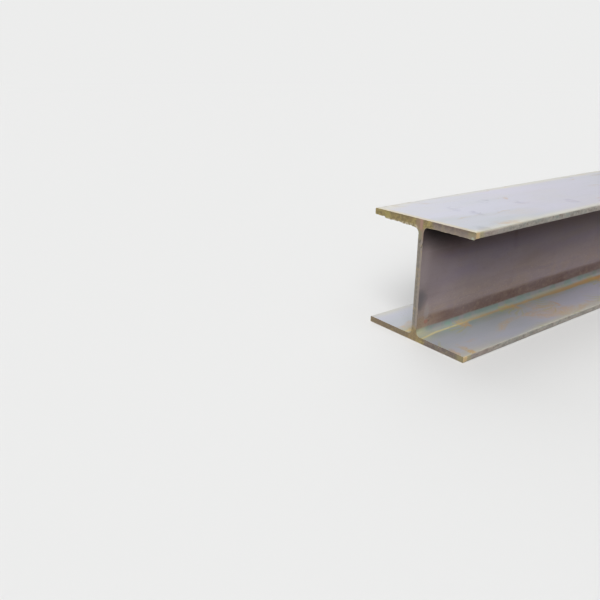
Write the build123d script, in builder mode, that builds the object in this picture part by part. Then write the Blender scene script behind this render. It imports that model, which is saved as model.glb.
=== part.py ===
from build123d import *
import os

os.makedirs("parts", exist_ok=True)

# Hot rolled wide flange h-beam, 300 x 305 x 15 x 15, one 6 m bar. Millimetres.
# X runs along the beam, Z is up, and the origin is under its middle, at the lower flange's face.

beam_length = 6000.0
section_height = 300.0
flange_width = 305.0
flange_thickness = 15.0
web_thickness = 15.0
# The concave radius where each face of the web runs into a flange.
root_radius = 13.0
# The slight rounding that rolling leaves on the flange toes.
toe_radius = 2.0

half_flange = flange_width / 2
half_web = web_thickness / 2
upper_flange_bottom = section_height - flange_thickness

with BuildPart() as h_beam:
    # The cross-section stands across the beam at its first end.
    with BuildSketch(Plane.YZ.offset(-beam_length / 2)) as section:
        Polygon(
            (-half_flange, 0),
            (half_flange, 0),
            (half_flange, flange_thickness),
            (half_web, flange_thickness),
            (half_web, upper_flange_bottom),
            (half_flange, upper_flange_bottom),
            (half_flange, section_height),
            (-half_flange, section_height),
            (-half_flange, upper_flange_bottom),
            (-half_web, upper_flange_bottom),
            (-half_web, flange_thickness),
            (-half_flange, flange_thickness),
            align=None,
        )
        # From left to right the corners come as toes, roots, roots, toes.
        left_toes, left_roots, right_roots, right_toes = section.vertices().group_by(Axis.X)
        fillet(left_roots + right_roots, root_radius)
        fillet(left_toes + right_toes, toe_radius)
    extrude(amount=beam_length)

h_beam.part.label = "h_beam"
export_step(h_beam.part, "parts/h_beam.step")
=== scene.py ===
import math
from itertools import product

import bpy
import numpy as np
from mathutils import Matrix, Vector
from mathutils.geometry import delaunay_2d_cdt


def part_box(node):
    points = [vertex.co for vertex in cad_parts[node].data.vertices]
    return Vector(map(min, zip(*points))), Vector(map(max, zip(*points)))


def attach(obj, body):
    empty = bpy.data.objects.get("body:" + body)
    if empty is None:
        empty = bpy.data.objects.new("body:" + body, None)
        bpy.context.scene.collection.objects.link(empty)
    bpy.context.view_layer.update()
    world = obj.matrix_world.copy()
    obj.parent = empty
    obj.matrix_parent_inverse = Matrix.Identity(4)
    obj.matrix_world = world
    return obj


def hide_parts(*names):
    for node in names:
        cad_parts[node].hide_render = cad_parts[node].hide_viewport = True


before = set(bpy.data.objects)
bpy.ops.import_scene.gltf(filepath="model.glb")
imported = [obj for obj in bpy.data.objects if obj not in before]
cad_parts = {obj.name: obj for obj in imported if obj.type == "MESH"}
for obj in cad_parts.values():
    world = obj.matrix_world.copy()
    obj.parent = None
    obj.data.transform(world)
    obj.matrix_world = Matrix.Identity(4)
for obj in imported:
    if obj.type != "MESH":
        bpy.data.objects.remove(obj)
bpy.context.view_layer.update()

# The section's sizes, in metres, as the CAD has them
_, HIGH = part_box("h_beam")
HALF_LENGTH = HIGH.x
HALF_WIDTH = HIGH.y
HEIGHT = HIGH.z
FLANGE = 0.015
WEB = 0.015
ROOT = 0.013
TOE = 0.002
# The photograph shows the upper flange's lower toes sharper than that
SHARP_TOE = 0.0011
MM = 0.001

# noise

# Odd factors that scramble a cell's place and the seed into a random value of 32 bits
CELL_FACTORS = np.array((374761393, 668265263, 1442695041))
SEED_FACTOR = 974711
SCRAMBLES = ((13, 1274126177), (16, 1103515245))
LAST_SHIFT = 15
BITS = 0xFFFFFFFF


def value_noise(p, seed):
    """Smooth noise from -1 to 1 at the points p, one unit per cell."""
    p = np.asarray(p, float)
    cell = np.floor(p).astype(np.int64)
    t = p - cell
    t = t * t * (3 - 2 * t)
    total = np.zeros(len(p))
    for corner in product((0, 1), repeat=3):
        h = (cell + corner) @ CELL_FACTORS + seed * SEED_FACTOR
        h &= BITS
        for shift, factor in SCRAMBLES:
            h = ((h ^ (h >> shift)) * factor) & BITS
        h = (h ^ (h >> LAST_SHIFT)) / BITS * 2 - 1
        wx, wy, wz = (t[:, i] if far else 1 - t[:, i] for i, far in enumerate(corner))
        total += h * wx * wy * wz
    return total


def cut_noise(end, yz, scale, slice_at, seed):
    """Noise over the plane of a cut end, in a slice of its own for each end."""
    return value_noise(np.c_[yz * scale, np.full(len(yz), end * slice_at)], seed)


def smooth(a, b, v):
    """0 where v is at a or before it, 1 at b or beyond, smooth between."""
    t = np.clip((v - a) / (b - a), 0, 1)
    return t * t * (3 - 2 * t)


# section outline

# Lengths of the outline's pieces on the faces and on the flanges' edges, and the pieces in each rounding
FACE_STEP, EDGE_STEP = 0.0072, 0.0037
TOE_PIECES, ROOT_PIECES = 3, 5
# Each of these pieces becomes this many near the cut ends
FINE = 4


def run(a, b, step, normal, tag, divide):
    """Points from a up to b, b left out."""
    a, b = np.array(a, float), np.array(b, float)
    n = max(2, round(np.linalg.norm(b - a) / step)) * divide
    return [(a + (b - a) * k / n, np.array(normal, float), tag) for k in range(n)]


def arc(centre, radius, start, end, n, sign, tag, divide):
    """Points on an arc from start up to end, in degrees. sign is 1 for a toe and -1 for a root."""
    out = []
    for k in range(n * divide):
        a = math.radians(start + (end - start) * k / (n * divide))
        d = np.array([math.cos(a), math.sin(a)])
        out.append((np.array(centre) + radius * d, sign * d, tag))
    return out


def outline(divide):
    """The section's outline, counter-clockwise in (y, z): points, outward normals and tags."""
    hw, h, e, w = HALF_WIDTH, HEIGHT, TOE, WEB / 2
    sharp = SHARP_TOE
    top_in = h - FLANGE
    half = run((0, 0), (hw - e, 0), FACE_STEP, (0, -1), "bottom", divide)
    half += arc((hw - e, e), e, -90, 0, TOE_PIECES, 1, "toe", divide)
    half += run((hw, e), (hw, FLANGE - e), EDGE_STEP, (1, 0), "edge", divide)
    half += arc((hw - e, FLANGE - e), e, 0, 90, TOE_PIECES, 1, "toe", divide)
    half += run((hw - e, FLANGE), (w + ROOT, FLANGE), FACE_STEP, (0, 1), "lower_inner", divide)
    half += arc((w + ROOT, FLANGE + ROOT), ROOT, 270, 180, ROOT_PIECES, -1, "root", divide)
    half += run((w, FLANGE + ROOT), (w, top_in - ROOT), FACE_STEP, (1, 0), "web", divide)
    half += arc((w + ROOT, top_in - ROOT), ROOT, 180, 90, ROOT_PIECES, -1, "root", divide)
    half += run((w + ROOT, top_in), (hw - sharp, top_in), FACE_STEP, (0, -1), "upper_inner", divide)
    half += arc((hw - sharp, top_in + sharp), sharp, -90, 0, TOE_PIECES, 1, "toe", divide)
    half += run((hw, top_in + sharp), (hw, h - e), EDGE_STEP, (1, 0), "edge", divide)
    half += arc((hw - e, h - e), e, 0, 90, TOE_PIECES, 1, "toe", divide)
    half += run((hw - e, h), (0, h), FACE_STEP, (0, 1), "top", divide)
    half += [(np.array([0.0, h]), np.array([0.0, 1.0]), "top")]
    every = half + [(p * (-1, 1), n * (-1, 1), t) for p, n, t in reversed(half[1:-1])]
    points = np.array([p for p, n, t in every])
    normals = np.array([n for p, n, t in every])
    return points, normals, np.array([t for p, n, t in every])


coarse = outline(1)
fine = outline(FINE)

# relief of the rolled surface

# Depths of the relief inside the true section: its mean, its slow and quick waves, and the least of it
MEAN_DEPTH, SLOW_DEPTH, QUICK_DEPTH, LEAST_DEPTH = 0.28 * MM, 0.14 * MM, 0.06 * MM, 0.02 * MM
# What the toes have on top of that, in mm
TOE_MEAN, TOE_SLOW, TOE_QUICK = 0.30, 0.30, 0.22


def relief(x, yz, tag):
    """How far each point lies inside the true section, in metres."""
    p = np.c_[np.broadcast_to(x, len(yz)), yz]
    depth = MEAN_DEPTH + SLOW_DEPTH * value_noise(p * (2.2, 9, 9), 3)
    depth += QUICK_DEPTH * value_noise(p * (28, 45, 45), 7)
    # the toes of a rolled flange are a little uneven along the beam
    toe = (tag == "edge") | (tag == "toe")
    wave = TOE_SLOW * value_noise(p * (11, 6, 6), 11) + TOE_QUICK * value_noise(p * (46, 25, 25), 12)
    depth += toe * MM * (TOE_MEAN + wave)
    return np.maximum(depth, LEAST_DEPTH)


# Knocks on the flange toes from handling: x, y side, upper or lower flange, half length and depth in mm
rng = np.random.RandomState(41)
NICKS = [
    (-2.913, -1, 1, 9, 1.1), (-2.742, -1, 1, 14, 0.8), (-2.561, -1, 1, 10, 1.2), (-2.868, 1, 1, 12, 1.3)]
for _ in range(16):
    NICKS.append((
        rng.uniform(-2.8, 2.9), rng.choice([-1, 1]), rng.choice([-1, 1]),
        rng.uniform(8, 22), rng.uniform(0.6, 1.9)))
# How far under the flange's face a knock has its middle, and how far it reaches over the section
NICK_BELOW = 0.001
NICK_REACH = 5 * MM


def nicked(x, yz):
    """Extra depth from the knocks at these points."""
    depth = np.zeros(len(yz))
    for at, side, level, length, deep in NICKS:
        along = abs(x - at) / (length * MM)
        if along > 1:
            continue
        z = (HEIGHT if level > 0 else FLANGE) - NICK_BELOW
        across = np.hypot(yz[:, 0] - side * HALF_WIDTH, yz[:, 1] - z) / NICK_REACH
        depth += deep * MM * (1 - along ** 2) ** 2 * np.clip(1 - across ** 2, 0, 1)
    return depth


# burr left by the saw


def burr(end, yz, tag):
    """How far the burr stands out of each face at a cut end, and how far it hangs down on the left.

    It returns metres, and its amounts are in mm up to there."""
    y, z = yz[:, 0], yz[:, 1]
    fine_n = cut_noise(end, yz, 170, 5.0, 21)
    wide_n = cut_noise(end, yz, 55, 9.0, 22)
    torn = smooth(-0.3, 0.5, wide_n + 0.5 * fine_n)
    # on the right it hangs under the upper flange, between the toe and the web
    right = smooth(0.1515, 0.1475, -y) * smooth(0.004, 0.008, -y)
    under = (tag == "upper_inner") | ((tag == "root") & (z > HEIGHT / 2))
    under = under * smooth(0.268, 0.276, z)
    size = under * right * (2.0 + 0.8 * torn + 0.35 * fine_n)
    size += (tag == "web") * (0.2 + 0.2 * torn) * smooth(0.02, 0.04, z)
    size += (tag == "lower_inner") * 0.3 * torn
    # the thick left burr carries the root down with it and dies out along the web
    jag = cut_noise(end, yz, (260, 100), 5.0, 23)
    left = (y > 0) & (z > HEIGHT / 2) & ((tag == "upper_inner") | (tag == "root") | (tag == "web"))
    left = left * smooth(0.1512, 0.1465, y) * smooth(0.246, 0.272, z)
    grown = 1.6 + smooth(0.1205, 0.1155, y) * (2.5 + 1.2 * smooth(0.12, 0.03, y) + 0.9 * torn)
    grown += 2.6 * smooth(0.045, 0.015, y)
    hang = left * (grown + (0.5 * fine_n + 1.3 * jag) * smooth(0.010, 0.022, y))
    return np.maximum(size, 0) * MM, np.maximum(hang, 0) * MM


# Rings of the cut end: distance back from the end, share of the burr and inset of the plain edge,
# the first and the last in mm
END_RINGS = (
    (0.34, 0.86, 0.30), (0.24, 0.97, 0.12), (0.60, 1.0, 0.0), (1.4, 0.82, 0.0),
    (2.4, 0.40, 0.0), (3.6, 0.10, 0.0), (7.0, 0.0, 0.0))
# So many of the strips between them belong to the cut face
CUT_STRIPS = 2
# How far the tip of the burr leans back, and how much of its inset a plain edge wanders by
LEAN = 0.15 * MM
INSET_WANDER = 0.35


def end_ring(end, back, share, inset):
    """Points of one of the rings at a cut end, with its burr."""
    yz, normal, tag = fine
    x = end * (HALF_LENGTH - back * MM)
    rough = cut_noise(end, yz, 400, 3.0, 31)
    grown, hang = burr(end, yz, tag)
    out = grown * share - inset * MM * (1 + INSET_WANDER * rough) - relief(x, yz, tag) - nicked(x, yz)
    moved = yz + normal * out[:, None]
    moved[:, 1] -= hang * share
    lean = LEAN * cut_noise(end, yz, 120, 7.0, 33) * (share > 0)
    return np.c_[x - end * np.abs(lean), moved]


def plain_ring(x):
    """Points of a coarse ring along the beam."""
    yz, normal, tag = coarse
    out = -relief(x, yz, tag) - nicked(x, yz)
    return np.c_[np.full(len(yz), x), yz + normal * out[:, None]]


# The coarse rings' distances from the near end and from the far one, in mm: the first two, the next step,
# its growth and its limit, and how far they reach
NEAR_RINGS = (11, 16), 6.0, 1.045, 52, 3000
FAR_RINGS = (11, 17), 8.0, 1.14, math.inf, 700
# The rings keep this far from the middle, from the ends and from each other, in mm
MIDDLE_CLEAR, END_CLEAR, RING_GAP = 40, 9, 1.5
# Each knock has rings at these shares of its half length
NICK_RINGS = (-1, -0.5, 0, 0.5, 1)


def spaced(first, step, growth, widest, reach):
    """Distances that lie ever further apart, until one is at the reach or past it."""
    out = list(first)
    while out[-1] < reach:
        out.append(out[-1] + step)
        step = min(step * growth, widest)
    return out


def stations():
    """Places of the coarse rings: close together near the cut ends and at the knocks."""
    near = [d for d in spaced(*NEAR_RINGS) if d < HALF_LENGTH / MM - MIDDLE_CLEAR]
    xs = [-HALF_LENGTH + d * MM for d in near] + [HALF_LENGTH - d * MM for d in spaced(*FAR_RINGS)]
    for at, _, _, length, _ in NICKS:
        xs += [at + share * length * MM for share in NICK_RINGS]
    xs = sorted(x for x in xs if abs(x) < HALF_LENGTH - END_CLEAR * MM)
    kept = [xs[0]]
    for x in xs[1:]:
        if x - kept[-1] > RING_GAP * MM:
            kept.append(x)
    return kept


# the cut face

# Two short tears in the upper part of the near end's web. Each has its top's distance to the right of the
# middle and its height, its lean, its middle's height and half its rise, and the heights where its dark tone
# fades in and out
TEARS = (
    (0.0006, 0.2510, 0.431, 0.2478, 0.0042, (0.2435, 0.2450), (0.2525, 0.2508)),
    (0.0078, 0.2445, 0.417, 0.2385, 0.0065, (0.2318, 0.2335), (0.2462, 0.2446)),
)
TEAR_WIDTH = 0.0009
# Depths on the cut face, in mm: the tears, its wide and its fine roughness, the saw's step, and the most
# that the face comes forward
TEAR_DEPTH, WIDE_ROUGH, FINE_ROUGH, SAW_STEP, MOST_FORWARD = 1.5, 0.16, 0.10, 0.35, 0.25
# The step's distance to the right of the middle, and how far it wanders, in metres
STEP_ASIDE, STEP_WANDER = 0.018, 0.003


def cut_depth(end, yz):
    """Unevenness of the sawn face, in metres inwards from its boundary ring."""
    y, z = yz[:, 0], yz[:, 1]
    depth = WIDE_ROUGH * cut_noise(end, yz, 40, 2.0, 51) + FINE_ROUGH * cut_noise(end, yz, 130, 2.0, 52)
    # the saw came through from two sides and left a small step beside the web
    wander = STEP_WANDER * cut_noise(end, yz[:, ::-1], (90, 0), 2.0, 53)
    depth += SAW_STEP * smooth(-0.002, 0.002, y + STEP_ASIDE + wander)
    torn = np.zeros(len(y))
    for aside, top, lean, middle, half, _, _ in TEARS:
        tear = np.clip(1 - ((z - middle) / half) ** 2, 0, 1)
        tear *= np.exp(-(((y + aside - lean * (top - z)) / TEAR_WIDTH) ** 2))
        torn = np.maximum(torn, tear)
    depth += TEAR_DEPTH * torn * (end < 0)
    return np.maximum(depth, -MOST_FORWARD) * MM


# Spacing of the cut face's inner points, and their distances from the section's faces, in mm
CAP_STEP = 2.3
CAP_CLEAR, TOE_CLEAR, WEB_CLEAR = 2.0, 2.6, 1.9
# The closer grid over the tears: steps across and up and its shift to the left in mm, its lowest height in
# metres, and its columns and rows
TEAR_STEP_Y, TEAR_STEP_Z, TEAR_SHIFT = 0.85, 1.1, 0.2
TEAR_FOOT = 0.2290
TEAR_COLUMNS, TEAR_ROWS = range(-4, 5), range(24)
# Of the inner points that fall in one square of this size only the first stays
MERGE = 0.7 * MM


def cap_points():
    """Places inside a cut end's outline, spread evenly and closer together at the tears."""
    inner = []
    step = CAP_STEP * MM
    clear = CAP_CLEAR * MM
    for iy in range(int(-HALF_WIDTH / step), int(HALF_WIDTH / step) + 1):
        for iz in range(0, int(HEIGHT / step) + 1):
            y, z = (iy + 0.5 * (iz % 2)) * step, iz * step
            in_flange = clear < min(z, HEIGHT - z) < FLANGE - clear and abs(y) < HALF_WIDTH - TOE_CLEAR * MM
            in_web = abs(y) < WEB / 2 - WEB_CLEAR * MM and clear < z < HEIGHT - clear
            if in_flange or in_web:
                inner.append((y, z))
    for iy, iz in product(TEAR_COLUMNS, TEAR_ROWS):
        inner.append((iy * TEAR_STEP_Y * MM + TEAR_SHIFT * MM, TEAR_FOOT + iz * TEAR_STEP_Z * MM))
    squares = {}
    for y, z in inner:
        squares.setdefault((round(y / MERGE), round(z / MERGE)), (y, z))
    return np.array(list(squares.values()))


def cut_cap(ring):
    """Points and faces that close a cut end. ring is the boundary, in order."""
    boundary = ring[:, 1:]
    n = len(boundary)
    points = [Vector((float(y), float(z))) for y, z in np.r_[boundary, cap_points()]]
    edges = [(i, (i + 1) % n) for i in range(n)]
    verts, _, faces, origin, _, _ = delaunay_2d_cdt(points, edges, [], 1, 1e-7)
    return np.array([(v.x, v.y) for v in verts]), faces, origin


# the beam's mesh

# Material slots
SKIN, CUT = 0, 1


def build_beam():
    """The dressed beam, one closed mesh: coarse rings along it, fine ones at its ends, and the cut faces."""
    coords, faces, mats = [], [], []

    def add(points):
        start = sum(len(c) for c in coords)
        coords.append(np.asarray(points, float))
        return start

    def strip(a, b, n, material=SKIN):
        for i in range(n):
            j = (i + 1) % n
            faces.append((a + i, a + j, b + j, b + i))
            mats.append(material)

    def widen(coarse_start, fine_start, n, end):
        """Joins a coarse ring to a ring with FINE times the points."""
        for i in range(n):
            pair = [coarse_start + i, coarse_start + (i + 1) % n]
            row = [fine_start + (i * FINE + k) % (n * FINE) for k in range(FINE + 1)]
            faces.append(tuple(pair[::-1] + row if end < 0 else pair + row[::-1]))
            mats.append(SKIN)

    nc, nf = len(coarse[0]), len(fine[0])
    starts = [add(plain_ring(x)) for x in stations()]
    for a, b in zip(starts, starts[1:]):
        strip(a, b, nc)
    for end, body in ((-1, starts[0]), (1, starts[-1])):
        rings = [end_ring(end, *values) for values in END_RINGS]
        ring_starts = [add(r) for r in rings]
        for k, (a, b) in enumerate(zip(ring_starts, ring_starts[1:])):
            strip(*((a, b) if end < 0 else (b, a)), nf, CUT if k < CUT_STRIPS else SKIN)
        widen(body, ring_starts[-1], nc, end)
        verts, cap, origin = cut_cap(rings[0])
        lookup = {}
        extra = []
        base = sum(len(c) for c in coords)
        for i, source in enumerate(origin):
            known = [s for s in source if s < nf]
            if known:
                lookup[i] = ring_starts[0] + known[0]
            else:
                lookup[i] = base + len(extra)
                extra.append(verts[i])
        extra = np.array(extra)
        x = end * (HALF_LENGTH - END_RINGS[0][0] * MM - cut_depth(end, extra))
        add(np.c_[x, extra])
        for face in cap:
            loop = [lookup[i] for i in face]
            a, b, c = (verts[i] for i in face[:3])
            ccw = (b[0] - a[0]) * (c[1] - a[1]) - (b[1] - a[1]) * (c[0] - a[0]) > 0
            if ccw == (end < 0):
                loop.reverse()
            faces.append(tuple(loop))
            mats.append(CUT)
    mesh = bpy.data.meshes.new("h_beam_steel")
    mesh.from_pydata(np.concatenate(coords).tolist(), [], faces)
    mesh.validate()
    mesh.polygons.foreach_set("material_index", mats)
    mesh.polygons.foreach_set("use_smooth", [m == SKIN for m in mats])
    mesh.update()
    obj = bpy.data.objects.new("h_beam_steel", mesh)
    bpy.context.scene.collection.objects.link(obj)
    return obj


beam = build_beam()

# shader helpers

# A mix node's sockets for colours: factor, first and second colour, and the result
MIX_FACTOR, MIX_FIRST, MIX_SECOND, MIX_RESULT = 0, 6, 7, 2


def linear(r, g, b):
    """A colour written as 0-255 display values, as Blender's linear RGBA."""
    def one(v):
        v /= 255
        return v / 12.92 if v <= 0.04045 else ((v + 0.055) / 1.055) ** 2.4
    return (one(r), one(g), one(b), 1.0)


class Shader:
    """Short calls for building a node material. Places are in metres, on the part's own axes."""

    def __init__(self, name):
        self.material = bpy.data.materials.new(name)
        self.material.use_nodes = True
        self.tree = self.material.node_tree
        self.tree.nodes.clear()
        output = self.node("ShaderNodeOutputMaterial")
        self.shader = self.node("ShaderNodeBsdfPrincipled")
        self.put(output.inputs[0], self.shader.outputs[0])
        self.coord = self.node("ShaderNodeTexCoord").outputs["Object"]
        self.x, self.y, self.z = self.node("ShaderNodeSeparateXYZ", Vector=self.coord).outputs
        # 1 where the surface looks straight up and -1 where it looks straight down
        normal = self.node("ShaderNodeNewGeometry").outputs["Normal"]
        self.up = self.node("ShaderNodeSeparateXYZ", Vector=normal).outputs[2]
        # 1 on the half of the beam that the photograph shows
        self.near_half = self.step(self.x, 0.0, -0.1)

    def put(self, socket, value):
        """Links another socket, or sets a plain value."""
        if isinstance(value, bpy.types.NodeSocket):
            self.tree.links.new(value, socket)
        else:
            socket.default_value = value

    def node(self, kind, **inputs):
        n = self.tree.nodes.new(kind)
        for key, value in inputs.items():
            self.put(n.inputs[key.replace("_", " ")], value)
        return n

    def math(self, op, *values, clamp=False):
        n = self.node("ShaderNodeMath")
        n.operation = op
        n.use_clamp = clamp
        for socket, value in zip(n.inputs, values):
            self.put(socket, value)
        return n.outputs[0]

    def vector(self, op, a, b):
        n = self.node("ShaderNodeVectorMath")
        n.operation = op
        self.put(n.inputs[0], a)
        self.put(n.inputs[1], b)
        return n

    def abs(self, a):
        return self.math("ABSOLUTE", a)

    def add(self, a, b):
        return self.math("ADD", a, b)

    def sub(self, a, b):
        return self.math("SUBTRACT", a, b)

    def max(self, a, b):
        return self.math("MAXIMUM", a, b)

    def mul(self, *values):
        out = values[0]
        for v in values[1:]:
            out = self.math("MULTIPLY", out, v)
        return out

    def mul_add(self, a, b, c, clamp=False):
        """a times b, plus c. With a noise as a, it makes the border of a mask on c wander."""
        return self.math("MULTIPLY_ADD", a, b, c, clamp=clamp)

    def step(self, value, low, high):
        """0 below low, 1 above high, smooth between; low over high turns it round."""
        flip = low > high
        n = self.node(
            "ShaderNodeMapRange", Value=value, From_Min=min(low, high), From_Max=max(low, high),
            To_Min=float(flip), To_Max=float(not flip))
        n.interpolation_type = "SMOOTHSTEP"
        return n.outputs[0]

    def stretch(self, scale, shift=0.0):
        """Coordinates with so many units for each metre, on each axis or the same on all."""
        scale = scale if isinstance(scale, tuple) else (scale, scale, scale)
        place = (shift, shift * 0.7, shift * 1.3)
        return self.node("ShaderNodeMapping", Vector=self.coord, Scale=scale, Location=place).outputs[0]

    def noise(self, scale, detail, rough, warp, shift=0.0):
        """Noise around 0.5. The shift keeps it apart from the others."""
        n = self.node(
            "ShaderNodeTexNoise", Vector=self.stretch(scale, shift), Scale=1.0,
            Detail=detail, Roughness=rough, Distortion=warp)
        return n.outputs["Fac"]

    def cells(self, scale, shift):
        """Distance from the nearest of scattered points."""
        n = self.node("ShaderNodeTexVoronoi", Vector=self.stretch(scale, shift), Scale=1.0)
        return n.outputs["Distance"]

    def mix(self, factor, a, b):
        n = self.node("ShaderNodeMix")
        n.data_type = "RGBA"
        for index, value in ((MIX_FACTOR, factor), (MIX_FIRST, a), (MIX_SECOND, b)):
            self.put(n.inputs[index], value)
        return n.outputs[MIX_RESULT]

    def tones(self, factor, first, second):
        """Two tones, in 0-255 display values, mixed by the factor."""
        return self.mix(factor, linear(*first), linear(*second))

    def paint(self, colour, tone, *masks):
        """The colour, turned into the tone as far as the product of the masks says."""
        return self.mix(self.mul(*masks), colour, linear(*tone))

    def bump(self, height, distance, strength):
        return self.node("ShaderNodeBump", Strength=strength, Distance=distance, Height=height).outputs[0]

    def finish(self, colour, ior, rough, normal):
        """Gives the shader its values and returns the material."""
        values = {"Base Color": colour, "Metallic": 0.0, "IOR": ior, "Roughness": rough, "Normal": normal}
        for name, value in values.items():
            self.put(self.shader.inputs[name], value)
        return self.material


# Mill scale with rust

# Marks on the web beside the near cut, each over the last: a pale scuff, a dark patch and a rusty dot. Each
# has its distance from the cut and half its length, its height and half its rise, how ragged it is, where it
# starts and where it is full, its tone and its share
WEB_MARKS = (
    (0.032, 0.011, 0.070, 0.024, 0.8, 1.5, 0.5, (178, 172, 172), 0.40),
    (0.0, 0.034, 0.104, 0.032, 0.6, 1.4, 0.4, (98, 98, 106), 0.55),
    (0.032, 0.0085, 0.045, 0.0062, 0.6, 1.4, 0.5, (176, 112, 102), 0.50),
)
# A turquoise spot in the lower root, placed in the same way
TURQUOISE = (0.113, 0.017, 0.0205, 0.0060)
# Distance between the points that the stains of dried run-off fan out of
FAN_SPACING = 0.15
FAN_STROKES = 22


class Skin(Shader):
    """The rolled surface, with the masks and noises that its layers share."""

    def __init__(self):
        super().__init__("rolled_skin")
        # distances from the middle plane and from the nearer cut end
        self.side = self.abs(self.y)
        self.from_end = self.sub(HALF_LENGTH, self.abs(self.x))
        steep = self.abs(self.up)
        self.tops = self.step(self.up, 0.35, 0.85)
        self.undersides = self.step(self.up, -0.35, -0.85)
        self.web = self.mul(self.step(self.side, 0.0135, 0.0085), self.step(steep, 0.9, 0.5))
        self.low = self.step(self.z, 0.10, 0.05)
        self.on_low = self.mul(self.tops, self.low)
        self.toe = self.step(self.side, HALF_WIDTH - 0.003, HALF_WIDTH - 0.0012)
        self.edge = self.mul(self.toe, self.step(steep, 0.75, 0.35))
        # the near half's right side
        self.photographed = self.mul(self.near_half, self.step(self.y, 0.0, -0.002))

        self.cloud = self.noise((2.6, 12, 12), 4, 0.6, 0.5)
        self.drift = self.noise((1.1, 5.5, 5.5), 3, 0.55, 0.8, 6.1)
        self.streak = self.noise((1.4, 210, 210), 3, 0.6, 0.0, 3.1)
        self.mottle = self.noise(48, 5, 0.62, 0.5, 5.2)
        self.speck = self.noise(210, 3, 0.62, 0.0, 1.3)
        self.rust_wide = self.noise((7, 26, 26), 5, 0.62, 0.6, 4.4)
        self.rust_fine = self.noise(95, 5, 0.68, 0.4, 8.8)
        self.flaked = self.step(self.mottle, 0.55, 0.64)


def ellipse(s, at, reach, height, rise):
    """Squared distance from an ellipse's centre on the beam's side, 1 at its rim."""
    a = s.math("DIVIDE", s.sub(s.from_end, at), reach)
    b = s.math("DIVIDE", s.sub(s.z, height), rise)
    return s.add(s.mul(a, a), s.mul(b, b))


def top_tone(s):
    """The flanges' upper faces are weathered pale blue grey, with lavender and beige drifts."""
    tone = s.tones(s.step(s.drift, 0.36, 0.64), (161, 165, 173), (174, 174, 189))
    tone = s.paint(tone, (174, 167, 166), s.step(s.cloud, 0.52, 0.72), 0.6)
    tone = s.paint(tone, (157, 163, 172), s.step(s.cloud, 0.42, 0.28), 0.3)
    # more lilac some way from the cut
    lilac = s.mul(s.step(s.from_end, 0.24, 0.40), s.step(s.from_end, 1.1, 0.6))
    return s.paint(tone, (179, 175, 192), lilac, 0.65)


def web_tone(s):
    """The web is a darker purple grey, tan lower down, and painted dark under the upper flange as shade."""
    band = s.noise((0.8, 42, 42), 2, 0.5, 0.2, 7.7)
    blotch = s.noise((14, 22, 22), 4, 0.62, 0.6, 24.1)
    dusty = s.noise(330, 2, 0.6, 0.0, 25.5)
    tone = s.tones(s.step(s.drift, 0.35, 0.65), (154, 139, 140), (166, 152, 160))
    tone = s.paint(tone, (166, 151, 144), s.step(s.cloud, 0.50, 0.74), 0.6)
    tone = s.paint(tone, (144, 132, 140), s.step(s.cloud, 0.44, 0.28), 0.5)
    tone = s.paint(tone, (168, 150, 148), s.step(band, 0.55, 0.75), 0.15)
    tone = s.paint(tone, (150, 136, 146), s.step(blotch, 0.52, 0.66), 0.30)
    tone = s.paint(tone, (164, 146, 138), s.step(blotch, 0.48, 0.36), 0.30)
    # streaks of tan and specks of pale dust below, a violet cloud above them
    lower = s.step(s.mul_add(s.cloud, 0.10, s.z), 0.205, 0.125)
    tan = s.mul_add(s.step(s.streak, 0.38, 0.60), 0.35, s.mul(s.step(blotch, 0.40, 0.60), 0.65))
    tone = s.paint(tone, (176, 156, 142), lower, tan, 0.62)
    tone = s.paint(tone, (206, 188, 172), lower, s.step(s.z, 0.150, 0.110), s.step(dusty, 0.60, 0.70), 0.55)
    violet = s.mul(s.step(s.cloud, 0.42, 0.58), s.step(s.z, 0.12, 0.16), s.step(s.z, 0.232, 0.196))
    tone = s.paint(tone, (150, 138, 164), violet, 0.40)
    # painted shade: brown and dim beside the cut's upper part, then along the upper flange, then darkest
    # under it near the cut
    high_end = s.mul_add(s.sub(0.285, s.z), 0.8, s.from_end)
    dim = s.step(s.mul_add(s.rust_wide, 0.06, high_end), 0.170, 0.060)
    tone = s.paint(tone, (122, 104, 94), dim, s.step(s.z, 0.17, 0.22), 0.55)
    inwards = s.mul_add(s.step(s.from_end, 0.0, 0.06), 0.38, 0.32)
    tone = s.paint(tone, (100, 68, 66), s.step(s.z, 0.168, 0.245), inwards)
    # painted shade, darkest under the upper flange a little way from the cut
    painted_flange_shade = s.mul(s.step(s.z, 0.188, 0.266), s.step(s.from_end, 0.42, 0.10), s.step(s.from_end, -0.01, 0.05))
    tone = s.paint(tone, (54, 38, 36), painted_flange_shade, 0.85)
    # paler beside the cut
    beside_cut = s.step(s.mul_add(s.cloud, 0.05, s.from_end), 0.150, 0.050)
    return s.paint(tone, (140, 128, 130), beside_cut, s.step(s.z, 0.085, 0.115), 0.65)


def loose_scale(s, colour):
    """Loose scale, rolling streaks and specks."""
    colour = s.paint(colour, (152, 142, 134), s.flaked, s.mul_add(s.tops, -0.05, 0.10))
    colour = s.paint(colour, (170, 168, 172), s.step(s.streak, 0.54, 0.72), 0.05)
    colour = s.paint(colour, (84, 80, 84), s.step(s.streak, 0.46, 0.30), 0.05)
    return s.paint(colour, (70, 66, 66), s.step(s.speck, 0.58, 0.74), s.mul_add(s.tops, -0.09, 0.12))


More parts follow.
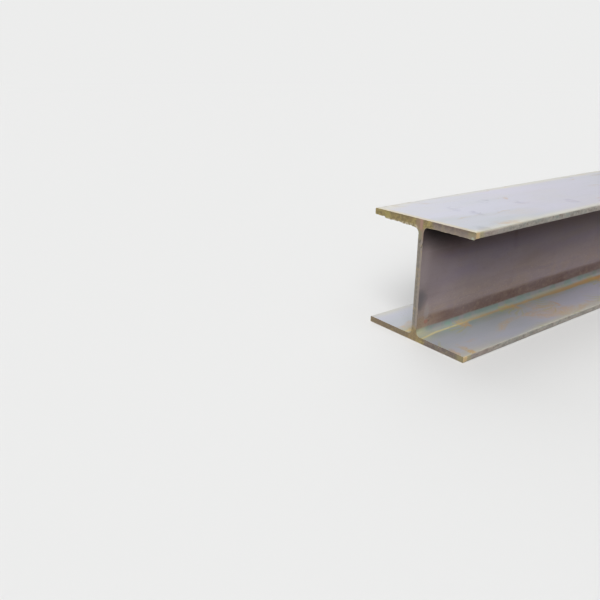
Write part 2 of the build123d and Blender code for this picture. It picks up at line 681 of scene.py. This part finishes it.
def mottled_toes(s, colour):
    """The toes are yellow green and ochre near the cut, blue grey and brown further on."""
    patchy = s.noise((30, 60, 60), 4, 0.6, 0.5, 10.2)
    grains = s.noise((150, 190, 190), 3, 0.6, 0.3, 20.6)
    colour = s.paint(colour, (206, 201, 192), s.edge, s.step(grains, 0.54, 0.66), 0.60)
    colour = s.paint(colour, (104, 94, 88), s.edge, s.step(grains, 0.44, 0.33), 0.60)
    colour = s.paint(colour, (156, 164, 160), s.edge, s.step(patchy, 0.50, 0.62), 0.55)
    colour = s.paint(colour, (132, 115, 103), s.edge, s.step(patchy, 0.46, 0.36), 0.6)
    colour = s.paint(colour, (194, 172, 168), s.edge, s.step(s.from_end, 0.13, 0.06), 0.40)
    # pale along the foot of each edge, and cream along the top of each edge near the cut
    upper_foot = s.mul(s.step(s.z, 0.2930, 0.2865), s.step(s.z, 0.14, 0.15))
    foot_of_edge = s.max(upper_foot, s.step(s.z, 0.0080, 0.0015))
    colour = s.paint(colour, (198, 188, 178), s.edge, foot_of_edge, 0.40)
    ragged_top = s.mul_add(s.rust_fine, 0.0016, s.z)
    cream_top = s.mul(s.step(ragged_top, 0.2958, 0.2984), s.step(s.from_end, 0.24, 0.04))
    colour = s.paint(colour, (222, 214, 198), s.edge, cream_top, 0.70)
    ragged_end = s.mul_add(s.rust_fine, 0.016, s.from_end)
    colour = s.paint(colour, (194, 183, 140), s.toe, s.step(ragged_end, 0.040, 0.031), 0.75)
    return s.paint(colour, (240, 208, 156), s.toe, s.step(ragged_end, 0.0245, 0.0185), 0.85)


def pale_rims(s, colour):
    """Cream along the cut, on the arrises that look up and on the tops beside them."""
    ragged_brink = s.mul_add(s.rust_fine, 0.010, s.from_end)
    brink = s.mul(s.step(s.up, 0.5, 0.8), s.step(ragged_brink, 0.0215, 0.0145))
    colour = s.paint(colour, (182, 169, 142), brink, s.step(s.z, 0.26, 0.29), 0.85)
    arris = s.mul(s.step(s.side, HALF_WIDTH - 0.0042, HALF_WIDTH - 0.0022), s.step(s.up, 0.25, 0.6))
    colour = s.paint(colour, (194, 188, 174), arris, s.step(s.rust_fine, 0.36, 0.62), 0.50)
    wave = s.noise((2.4, 5, 5), 3, 0.55, 0.4, 21.8)
    shore = s.mul_add(wave, 0.11, s.mul_add(s.rust_wide, 0.02, s.side))
    shore = s.step(shore, HALF_WIDTH + 0.028, HALF_WIDTH + 0.068)
    colour = s.paint(colour, (188, 183, 160), s.tops, shore, 0.60)
    rim = s.step(s.side, HALF_WIDTH - 0.030, HALF_WIDTH - 0.006)
    upper_rim = s.mul(s.tops, s.step(s.z, 0.2, 0.25), rim)
    upper_rim = s.mul(upper_rim, s.step(s.from_end, 0.21, 0.29), s.step(s.from_end, 0.9, 0.6))
    return s.paint(colour, (185, 182, 173), upper_rim, 0.75)


def stained_foot(s, colour):
    """The web's foot is stained red brown, olive at the cut end. Also returns the stain's mask."""
    ragged = s.mul_add(s.noise((5, 30, 30), 3, 0.55, 0.2, 14.1), 0.022, s.z)
    foot = s.mul(s.web, s.step(ragged, 0.0780, 0.0650), s.mul_add(s.rust_wide, 1.1, 0.25, clamp=True))
    stain = s.tones(s.step(s.rust_wide, 0.38, 0.62), (104, 84, 82), (120, 95, 87))
    stain = s.paint(stain, (92, 68, 62), s.step(s.from_end, 0.05, 0.24), 0.75)
    stain = s.paint(stain, (168, 144, 122), s.step(s.from_end, 0.11, 0.01))
    stain = s.paint(stain, (124, 102, 90), s.step(s.rust_fine, 0.45, 0.70))
    return s.mix(s.mul(foot, 0.85), colour, stain), foot


def web_at_cut(s, colour):
    """The web's last few centimetres, with their marks."""
    near_cut = s.step(s.mul_add(s.cloud, 0.04, s.from_end), 0.060, 0.024)
    near_cut = s.mul(s.web, near_cut, s.step(s.z, 0.256, 0.208))
    near_tone = s.tones(s.step(s.z, 0.055, 0.080), (174, 155, 126), (128, 120, 112))
    near_tone = s.paint(near_tone, (182, 168, 168), s.step(s.z, 0.115, 0.155))
    colour = s.mix(s.mul(near_cut, 0.38), colour, near_tone)
    for at, reach, height, rise, ragged, start, full, tone, share in WEB_MARKS:
        away = s.mul_add(s.rust_fine, ragged, ellipse(s, at, reach, height, rise))
        colour = s.paint(colour, tone, s.web, s.step(away, start, full), s.photographed, share)
    return colour


def painted_corner_shade(s, colour):
    """Painted shade, matt, in the corner under the upper flange near the cut. Also returns its mask."""
    corner = s.step(s.mul_add(s.cloud, 0.02, s.z), 0.222, 0.280)
    near = s.step(s.mul_add(s.cloud, 0.06, s.from_end), 0.30, 0.10)
    corner = s.mul(corner, near, s.step(s.up, 0.5, 0.1), s.sub(1.0, s.edge))
    return s.paint(colour, (22, 8, 7), corner, 0.76), corner


def tinged_root(s, colour):
    """A teal and lavender tinge in the lower root. Also returns the root's mask."""
    patchy = s.noise((24, 30, 30), 3, 0.5, 0.4, 15.7)
    broken = s.noise((1.7, 2, 2), 3, 0.6, 0.3, 22.4)
    root = s.step(s.mul_add(s.rust_wide, 0.008, s.z), 0.0375, 0.0325)
    root = s.mul(s.low, root, s.step(s.side, 0.0600, 0.0215))
    tinge = s.tones(s.step(patchy, 0.42, 0.58), (130, 150, 146), (147, 150, 153))
    tinge = s.paint(tinge, (176, 180, 152), s.step(s.from_end, 0.050, 0.010))
    # whole near the cuts and broken further on
    comes = s.max(s.step(s.from_end, 0.9, 0.4), s.step(broken, 0.36, 0.62))
    colour = s.mix(s.mul(root, comes, 0.88), colour, tinge)
    turquoise = s.step(s.mul_add(s.rust_fine, 0.6, ellipse(s, *TURQUOISE)), 1.4, 0.4)
    return s.paint(colour, (112, 162, 144), turquoise, s.low, s.photographed, 0.55), root


def rust_line(s, colour):
    """A line where the root meets the flange, thin and yellow green at the cut, wide and orange further on.

    Also returns the line's mask."""
    width = s.mul_add(s.step(s.from_end, 0.15, 0.75), 0.0070, 0.0042)
    width = s.mul(width, s.mul_add(s.rust_wide, 1.4, 0.35))
    wander = s.mul_add(s.noise((11, 1, 1), 3, 0.5, 0.0, 16.3), 0.008, 0.0130)
    wander = s.mul_add(s.step(s.from_end, 0.065, 0.0), 0.0065, wander)
    distance = s.abs(s.sub(s.side, s.add(wander, s.mul(width, 0.6))))
    line = s.mul(s.low, s.step(s.math("DIVIDE", distance, width), 1.15, 0.35), s.step(s.up, 0.1, 0.6))
    onwards = s.step(s.mul_add(s.rust_wide, 0.3, s.from_end), 0.22, 0.42)
    line_tone = s.tones(onwards, (230, 210, 140), (188, 144, 92))
    colour = s.mix(s.mul(line, s.step(s.rust_fine, 0.20, 0.44), 0.95), colour, line_tone)
    # the flange beside it is damp grey green, with an ochre halo
    damp = s.mul(s.on_low, s.step(s.side, 0.150, 0.030), s.step(s.from_end, 0.9, 0.3))
    colour = s.paint(colour, (142, 150, 146), damp, 0.45)
    halo = s.mul(s.on_low, s.step(s.side, 0.060, 0.022), s.step(s.rust_wide, 0.40, 0.62))
    return s.paint(colour, (168, 152, 112), halo, 0.40), line


def feathers(s):
    """Masks of strokes that fan out of scattered points, and of the points' cores."""
    bend = s.noise(14, 2, 0.5, 0.0, 17.9)
    flat = s.node(
        "ShaderNodeCombineXYZ", X=s.mul_add(s.x, 1 / FAN_SPACING, s.mul(bend, 0.35)),
        Y=s.mul_add(s.y, 1 / FAN_SPACING, s.mul(bend, -0.25))).outputs[0]
    cell = s.node("ShaderNodeTexVoronoi", Vector=flat, Scale=1.0)
    cell.voronoi_dimensions = "2D"
    away = s.vector("SUBTRACT", flat, cell.outputs["Position"]).outputs[0]
    dx, dy, _ = s.node("ShaderNodeSeparateXYZ", Vector=away).outputs
    radius = cell.outputs["Distance"]
    angle = s.math("ARCTAN2", dy, dx)
    turning, curling, showing = s.node("ShaderNodeSeparateColor", Color=cell.outputs["Color"]).outputs
    # the strokes point about towards the cut end, some more to one side
    facing = s.math("COSINE", s.sub(angle, s.mul_add(turning, 2.4, 1.9)))
    lines = s.math("SINE", s.mul_add(angle, FAN_STROKES, s.mul_add(radius, 7, s.mul(curling, 9))))
    ragged = s.mul_add(s.noise(40, 2, 0.5, 0.0, 18.4), 1.6, -0.8)
    lines = s.step(s.add(lines, ragged), 0.15, 0.75)
    shown = s.step(showing, 0.25, 0.45)
    fans = s.mul(lines, s.step(facing, 0.30, 0.72), s.step(radius, 0.62, 0.36), s.step(radius, 0.03, 0.10))
    blotchy = s.step(s.noise(42, 3, 0.6, 0.4, 19.2), 0.40, 0.58)
    core = s.mul(s.step(radius, 0.26, 0.10), s.step(facing, -0.2, 0.6), shown, blotchy)
    return s.mul(fans, shown), core


def rusty_patches(s, colour):
    """Soft rust and a thin film on what looks up, and small pits off the web.

    Also returns the masks of the soft rust and of the pits."""
    patchy = s.noise((5, 10, 10), 4, 0.6, 0.9, 12.6)
    filmy = s.noise((3, 9, 9), 4, 0.6, 0.8, 9.4)
    pitted = s.noise(13, 2, 0.5, 0.0, 13.3)
    patch = s.mul(s.tops, s.step(patchy, 0.585, 0.70), s.step(s.rust_fine, 0.26, 0.58))
    colour = s.paint(colour, (196, 160, 110), patch, 0.50)
    colour = s.paint(colour, (178, 176, 150), s.tops, s.step(filmy, 0.50, 0.70), 0.13)
    pits = s.mul(s.step(s.cells(75, 6.6), 0.16, 0.07), s.step(pitted, 0.50, 0.62), s.step(s.web, 0.9, 0.1))
    return s.paint(colour, (124, 92, 66), pits, 0.35), patch, pits


def rolled_skin():
    """The material of everything but the cuts. Each layer lies on the one before."""
    s = Skin()
    colour = s.mix(s.tops, web_tone(s), top_tone(s))
    # painted shade: what looks down is darker
    colour = s.mix(s.undersides, colour, s.tones(s.cloud, (98, 93, 97), (116, 108, 108)))
    edge_tone = s.tones(s.step(s.mottle, 0.38, 0.62), (160, 155, 147), (189, 182, 172))
    colour = s.mix(s.edge, colour, edge_tone)
    colour = loose_scale(s, colour)
    colour = mottled_toes(s, colour)
    colour = pale_rims(s, colour)
    colour, foot = stained_foot(s, colour)
    colour = web_at_cut(s, colour)
    colour, corner = painted_corner_shade(s, colour)
    colour, root = tinged_root(s, colour)
    colour, line = rust_line(s, colour)
    # feathered stains of dried run-off on the lower flange
    fans, core = feathers(s)
    colour = s.paint(colour, (164, 161, 106), s.on_low, fans, 0.62)
    colour = s.paint(colour, (196, 152, 92), s.on_low, core, 0.55)
    colour, patch, pits = rusty_patches(s, colour)

    # rust, the painted corner shade and the web are matt, and what looks up is more even than the rest
    rust = s.max(s.max(line, s.mul(patch, 0.8)), s.max(s.mul(foot, 0.6), core))
    uneven = s.mul_add(s.tops, -0.80, 1.0)
    rough = s.mul_add(s.mul(s.speck, uneven), 0.16, s.mul_add(s.mul(s.flaked, uneven), 0.06, 0.30))
    rough = s.mul_add(rust, 0.32, rough)
    rough = s.mul_add(s.max(s.web, root), 0.22, rough, clamp=True)
    rough = s.mul_add(corner, 0.35, rough, clamp=True)
    grain = s.noise(800, 2, 0.6, 0.0, 2.2)
    height = s.add(s.mul(s.flaked, 0.30, uneven), s.mul(grain, 0.20, uneven))
    height = s.add(s.mul(s.speck, 0.45, uneven), height)
    height = s.add(height, s.add(s.mul(rust, s.rust_fine, 0.7), s.mul(pits, -0.8)))
    s.shader.inputs["Specular IOR Level"].default_value = 0.30
    return s.finish(colour, 1.5, rough, s.bump(height, 0.0003, 0.7))


# the cut face's material

# The saw marks are arcs around a centre this far off
SAW_SHIFT = (0, 0.62, -0.52)
SAW_MARKS = 150
# Where the cut face of the upper flange has a whitish spot
SPOT = (0, -0.1440, 0.2845)


def saw_marks(s):
    """Fine arcs over the cut face."""
    place = s.stretch(1)
    place.node.inputs["Location"].default_value = SAW_SHIFT
    arcs = s.node(
        "ShaderNodeTexWave", Vector=place, Scale=SAW_MARKS, Distortion=5.0, Detail=3, Detail_Scale=2.5)
    arcs.wave_type = "RINGS"
    arcs.rings_direction = "X"
    return arcs.outputs["Fac"]


def cut_face():
    """The material of the sawn ends."""
    s = Shader("saw_cut")
    marks = saw_marks(s)
    mottle = s.noise(105, 5, 0.66, 0.7, 1.1)
    cloud = s.noise(22, 3, 0.55, 0.6, 2.7)
    grain = s.noise(480, 3, 0.7, 0.0, 3.3)
    upright = s.noise((100, 330, 22), 3, 0.6, 0.3, 4.9)
    side = s.abs(s.y)
    wander = s.mul_add(cloud, 0.030, s.y)

    # right of the web the cut is pinkish, the web itself is greyer, the rest olive
    olive = s.tones(s.step(mottle, 0.36, 0.64), (113, 98, 62), (165, 148, 95))
    olive = s.paint(olive, (162, 156, 90), s.step(cloud, 0.52, 0.66), 0.5)
    olive = s.paint(olive, (132, 108, 80), s.step(cloud, 0.46, 0.34), 0.6)
    inner = s.mul(s.step(s.y, 0.024, 0.038), s.step(s.y, 0.104, 0.086), s.step(s.z, 0.2, 0.25))
    olive = s.paint(olive, (112, 92, 56), inner, 0.35)
    low_left = s.mul(s.step(s.z, 0.040, 0.026), s.step(wander, 0.020, 0.044))
    olive = s.paint(olive, (112, 97, 84), low_left, 0.65)
    pink = s.tones(s.step(mottle, 0.36, 0.64), (94, 83, 78), (124, 110, 103))
    pink = s.paint(pink, (126, 120, 106), s.step(cloud, 0.50, 0.64), 0.5)
    grey = s.tones(s.step(mottle, 0.34, 0.66), (120, 114, 105), (142, 136, 128))
    right = s.step(wander, -0.012, -0.024)
    colour = s.mix(right, olive, pink)
    colour = s.paint(colour, (146, 136, 98), s.step(wander, -0.108, -0.126), 0.8)
    web = s.mul(s.step(s.z, 0.276, 0.262), s.step(s.z, 0.026, 0.044))
    colour = s.mix(web, colour, grey)
    # the upper flange is paler in its lower half on the right, with a dark line along its top
    lower_half = s.mul(right, s.step(s.z, 0.2975, 0.2845), s.step(s.z, 0.26, 0.28))
    colour = s.paint(colour, (158, 144, 134), lower_half, 0.50)
    dark_line = s.mul(right, s.step(s.abs(s.sub(s.z, 0.2968)), 0.0018, 0.0006))
    colour = s.paint(colour, (96, 74, 64), dark_line, s.step(mottle, 0.36, 0.56), 0.60)
    # two upright strips on the web, the right one lighter
    parting = s.abs(s.mul_add(upright, 0.004, s.sub(s.y, 0.003)))
    colour = s.paint(colour, (98, 94, 84), web, s.step(parting, 0.0016, 0.0004), 0.35)
    colour = s.paint(colour, (162, 148, 142), web, s.step(s.y, 0.001, -0.003), 0.50)
    # a whitish spot at the lower right corner of the upper flange
    place = s.node("ShaderNodeCombineXYZ", Y=s.y, Z=s.z).outputs[0]
    away = s.vector("DISTANCE", place, SPOT).outputs["Value"]
    spot = s.mul(s.step(s.mul_add(mottle, 0.006, away), 0.0085, 0.0045), s.near_half)
    colour = s.paint(colour, (176, 188, 172), spot, 0.75)
    # the web's neck is greenish on the left and pinkish on the right
    neck = s.mul(s.step(side, 0.020, 0.012), s.step(s.z, 0.248, 0.256), s.step(s.z, 0.282, 0.276))
    colour = s.paint(colour, (138, 128, 104), neck, 0.75)
    colour = s.paint(colour, (142, 141, 115), neck, s.step(s.y, 0.002, 0.006), 0.6)
    colour = s.paint(colour, (148, 122, 112), neck, s.step(s.y, -0.001, -0.005), 0.6)
    # two upright reddish bands over the web's junction with the upper flange
    wavy = s.mul_add(upright, 0.006, s.y)
    above = s.step(s.z, 0.270, 0.279)
    wide_band = s.mul(s.step(wavy, -0.0045, -0.0020), s.step(wavy, 0.0215, 0.0185), above)
    colour = s.paint(colour, (141, 117, 98), wide_band, 0.80)
    pink_band = s.mul(s.step(wavy, -0.0016, 0.0004), s.step(wavy, 0.0084, 0.0064), above)
    colour = s.paint(colour, (170, 132, 118), pink_band, 0.75)
    # the tears in the web are dark
    tears = []
    for aside, top, lean, _, _, fades_in, fades_out in TEARS:
        away = s.abs(s.mul_add(s.sub(top, s.z), -lean, s.add(s.y, aside)))
        tears.append(s.mul(s.step(away, 0.0019, 0.0008), s.step(s.z, *fades_in), s.step(s.z, *fades_out)))
    colour = s.paint(colour, (72, 57, 50), s.mul(s.max(*tears), s.near_half), 0.80)
    # rust at the foot and in spots, grains and the saw's marks
    foot = s.mul(s.step(side, 0.030, 0.010), s.step(s.z, 0.05, 0.02))
    colour = s.paint(colour, (136, 112, 92), foot, 0.45)
    rust = s.step(s.mul_add(mottle, 0.6, s.mul(cloud, 0.5)), 0.56, 0.72)
    colour = s.paint(colour, (164, 142, 88), rust, 0.45)
    colour = s.paint(colour, (88, 78, 62), s.step(grain, 0.56, 0.75), 0.20)
    colour = s.paint(colour, (182, 174, 154), marks, 0.07)
    # the upper arris is pale where it looks up, darker and olive on the left as painted shadow, and the torn
    # lip catches the light
    bright = s.tones(s.step(s.y, -0.02, 0.05), (222, 212, 190), (188, 174, 134))
    colour = s.mix(s.mul(s.step(s.up, 0.25, 0.7), s.step(s.z, 0.26, 0.29), 0.85), colour, bright)
    colour = s.paint(colour, (190, 180, 158), s.step(s.up, -0.2, -0.6), 0.7)
    lip = s.step(s.mul_add(mottle, 0.002, s.z), HEIGHT - FLANGE + 0.0012, HEIGHT - FLANGE - 0.0012)
    hanging = s.mul(lip, s.step(side, 0.0095, 0.013), s.step(s.z, 0.24, 0.26))
    colour = s.paint(colour, (196, 186, 160), hanging, s.step(mottle, 0.40, 0.60), 0.75)
    height = s.add(s.mul(marks, 0.18), s.add(s.mul(grain, 0.4), s.mul(mottle, 0.5)))
    return s.finish(colour, 1.6, s.mul_add(mottle, 0.25, 0.45), s.bump(height, 0.0004, 0.8))


beam.data.materials.append(rolled_skin())
beam.data.materials.append(cut_face())
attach(beam, "root")
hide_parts("h_beam")

# Floor, light and background

BACKDROP = (0.843, 0.845, 0.841, 1.0)
FLOOR_SEEN = (0.78, 0.78, 0.78, 1.0)
# The floor throws this much light back at the beam, as yard ground does, while it looks pale
FLOOR_BOUNCE = (0.06, 0.06, 0.057, 1.0)
FLOOR_RADIUS, FLOOR_CORNERS = 80.0, 96
# Between these distances from the middle the floor turns into the backdrop's own colour
FADE_FROM, FADE_TO = 5.0, 30.0
AMBIENT, AMBIENT_STRENGTH = (0.95, 0.98, 1.0, 1.0), 0.08
LAMP_DISTANCE = 6
# Name, heading and height in degrees, power, spread in degrees, colour
LAMPS = (
    ("overhead", 200, 74, 0.8, 80, (0.98, 0.99, 1.0)),
    ("front", 211, 38, 3.0, 52, (1.0, 0.99, 0.97)),
    ("back", 56, 40, 0.9, 60, (0.97, 0.99, 1.0)),
)


def seen_directly(tree):
    """1 for what the camera sees, also by reflection or through glass, and 0 for the light on surfaces."""
    path = tree.nodes.new("ShaderNodeLightPath")
    total = path.outputs["Is Camera Ray"]
    for name in ("Is Glossy Ray", "Is Transmission Ray"):
        either = tree.nodes.new("ShaderNodeMath")
        either.operation = "MAXIMUM"
        tree.links.new(total, either.inputs[0])
        tree.links.new(path.outputs[name], either.inputs[1])
        total = either.outputs[0]
    return total


def floor():
    """A plain pale floor that turns into the backdrop far away, and keeps the beam's shadow."""
    mesh = bpy.data.meshes.new("floor")
    turns = [2 * math.pi * k / FLOOR_CORNERS for k in range(FLOOR_CORNERS)]
    ring = [(FLOOR_RADIUS * math.cos(a), FLOOR_RADIUS * math.sin(a), 0.0) for a in turns]
    mesh.from_pydata(ring, [], [tuple(range(FLOOR_CORNERS))])
    obj = bpy.data.objects.new("floor", mesh)
    bpy.context.scene.collection.objects.link(obj)
    material = bpy.data.materials.new("floor")
    material.use_nodes = True
    tree = material.node_tree
    shader = tree.nodes["Principled BSDF"]
    tint = tree.nodes.new("ShaderNodeMix")
    tint.data_type = "RGBA"
    tree.links.new(seen_directly(tree), tint.inputs[MIX_FACTOR])
    tint.inputs[MIX_FIRST].default_value = FLOOR_BOUNCE
    tint.inputs[MIX_SECOND].default_value = FLOOR_SEEN
    tree.links.new(tint.outputs[MIX_RESULT], shader.inputs["Base Color"])
    shader.inputs["Roughness"].default_value = 0.9
    shader.inputs["Specular IOR Level"].default_value = 0.0
    glow = tree.nodes.new("ShaderNodeEmission")
    glow.inputs[0].default_value = BACKDROP
    length = tree.nodes.new("ShaderNodeVectorMath")
    length.operation = "LENGTH"
    coord = tree.nodes.new("ShaderNodeTexCoord")
    tree.links.new(coord.outputs["Object"], length.inputs[0])
    fade = tree.nodes.new("ShaderNodeMapRange")
    fade.interpolation_type = "SMOOTHSTEP"
    fade.inputs["From Min"].default_value = FADE_FROM
    fade.inputs["From Max"].default_value = FADE_TO
    tree.links.new(length.outputs["Value"], fade.inputs["Value"])
    far = tree.nodes.new("ShaderNodeMath")
    far.operation = "MULTIPLY"
    tree.links.new(fade.outputs[0], far.inputs[0])
    tree.links.new(seen_directly(tree), far.inputs[1])
    blend = tree.nodes.new("ShaderNodeMixShader")
    tree.links.new(far.outputs[0], blend.inputs[0])
    tree.links.new(shader.outputs[0], blend.inputs[1])
    tree.links.new(glow.outputs[0], blend.inputs[2])
    tree.links.new(blend.outputs[0], tree.nodes["Material Output"].inputs[0])
    mesh.materials.append(material)


def surroundings():
    """Plain soft light from all sides, and the backdrop for what the camera sees."""
    world = bpy.data.worlds.new("world")
    bpy.context.scene.world = world
    world.use_nodes = True
    tree = world.node_tree
    tree.nodes.clear()
    output = tree.nodes.new("ShaderNodeOutputWorld")
    ambient = tree.nodes.new("ShaderNodeBackground")
    ambient.inputs[0].default_value = AMBIENT
    ambient.inputs[1].default_value = AMBIENT_STRENGTH
    seen = tree.nodes.new("ShaderNodeBackground")
    seen.inputs[0].default_value = BACKDROP
    pick = tree.nodes.new("ShaderNodeMixShader")
    tree.links.new(seen_directly(tree), pick.inputs[0])
    tree.links.new(ambient.outputs[0], pick.inputs[1])
    tree.links.new(seen.outputs[0], pick.inputs[2])
    tree.links.new(pick.outputs[0], output.inputs[0])


def soft_lamp(name, heading, height, power, spread, colour):
    """A broad soft lamp far off."""
    data = bpy.data.lights.new(name, "SUN")
    data.energy = power
    data.angle = math.radians(spread)
    data.color = colour
    obj = bpy.data.objects.new(name, data)
    a, b = math.radians(heading), math.radians(height)
    source = Vector((math.cos(b) * math.cos(a), math.cos(b) * math.sin(a), math.sin(b)))
    obj.rotation_euler = (-source).to_track_quat("-Z", "Y").to_euler()
    obj.location = source * LAMP_DISTANCE
    bpy.context.scene.collection.objects.link(obj)


floor()
surroundings()
for lamp in LAMPS:
    soft_lamp(*lamp)

# camera

# Worked out from the vanishing directions of the beams in the photograph: angles in degrees, the place in
# metres, the focal length as a share of the picture's width, and a usual sensor width in mm
HEADING, PITCH, ROLL = 53.71, 20.58, 0.125
CAMERA_PLACE = (-4.0229, -0.9298, 0.6132)
FOCAL_SHARE = 611.9 / 600
SENSOR = 36
camera_data = bpy.data.cameras.new("camera")
camera_data.sensor_width = SENSOR
camera_data.lens = SENSOR * FOCAL_SHARE
camera = bpy.data.objects.new("camera", camera_data)
turn = Matrix.Rotation(math.radians(HEADING - 90), 4, "Z")
tilt = Matrix.Rotation(math.radians(90 - PITCH), 4, "X")
roll = Matrix.Rotation(math.radians(ROLL), 4, "Z")
camera.matrix_world = Matrix.Translation(CAMERA_PLACE) @ turn @ tilt @ roll
bpy.context.scene.collection.objects.link(camera)
bpy.context.scene.camera = camera
bpy.context.scene.view_settings.view_transform = "Standard"
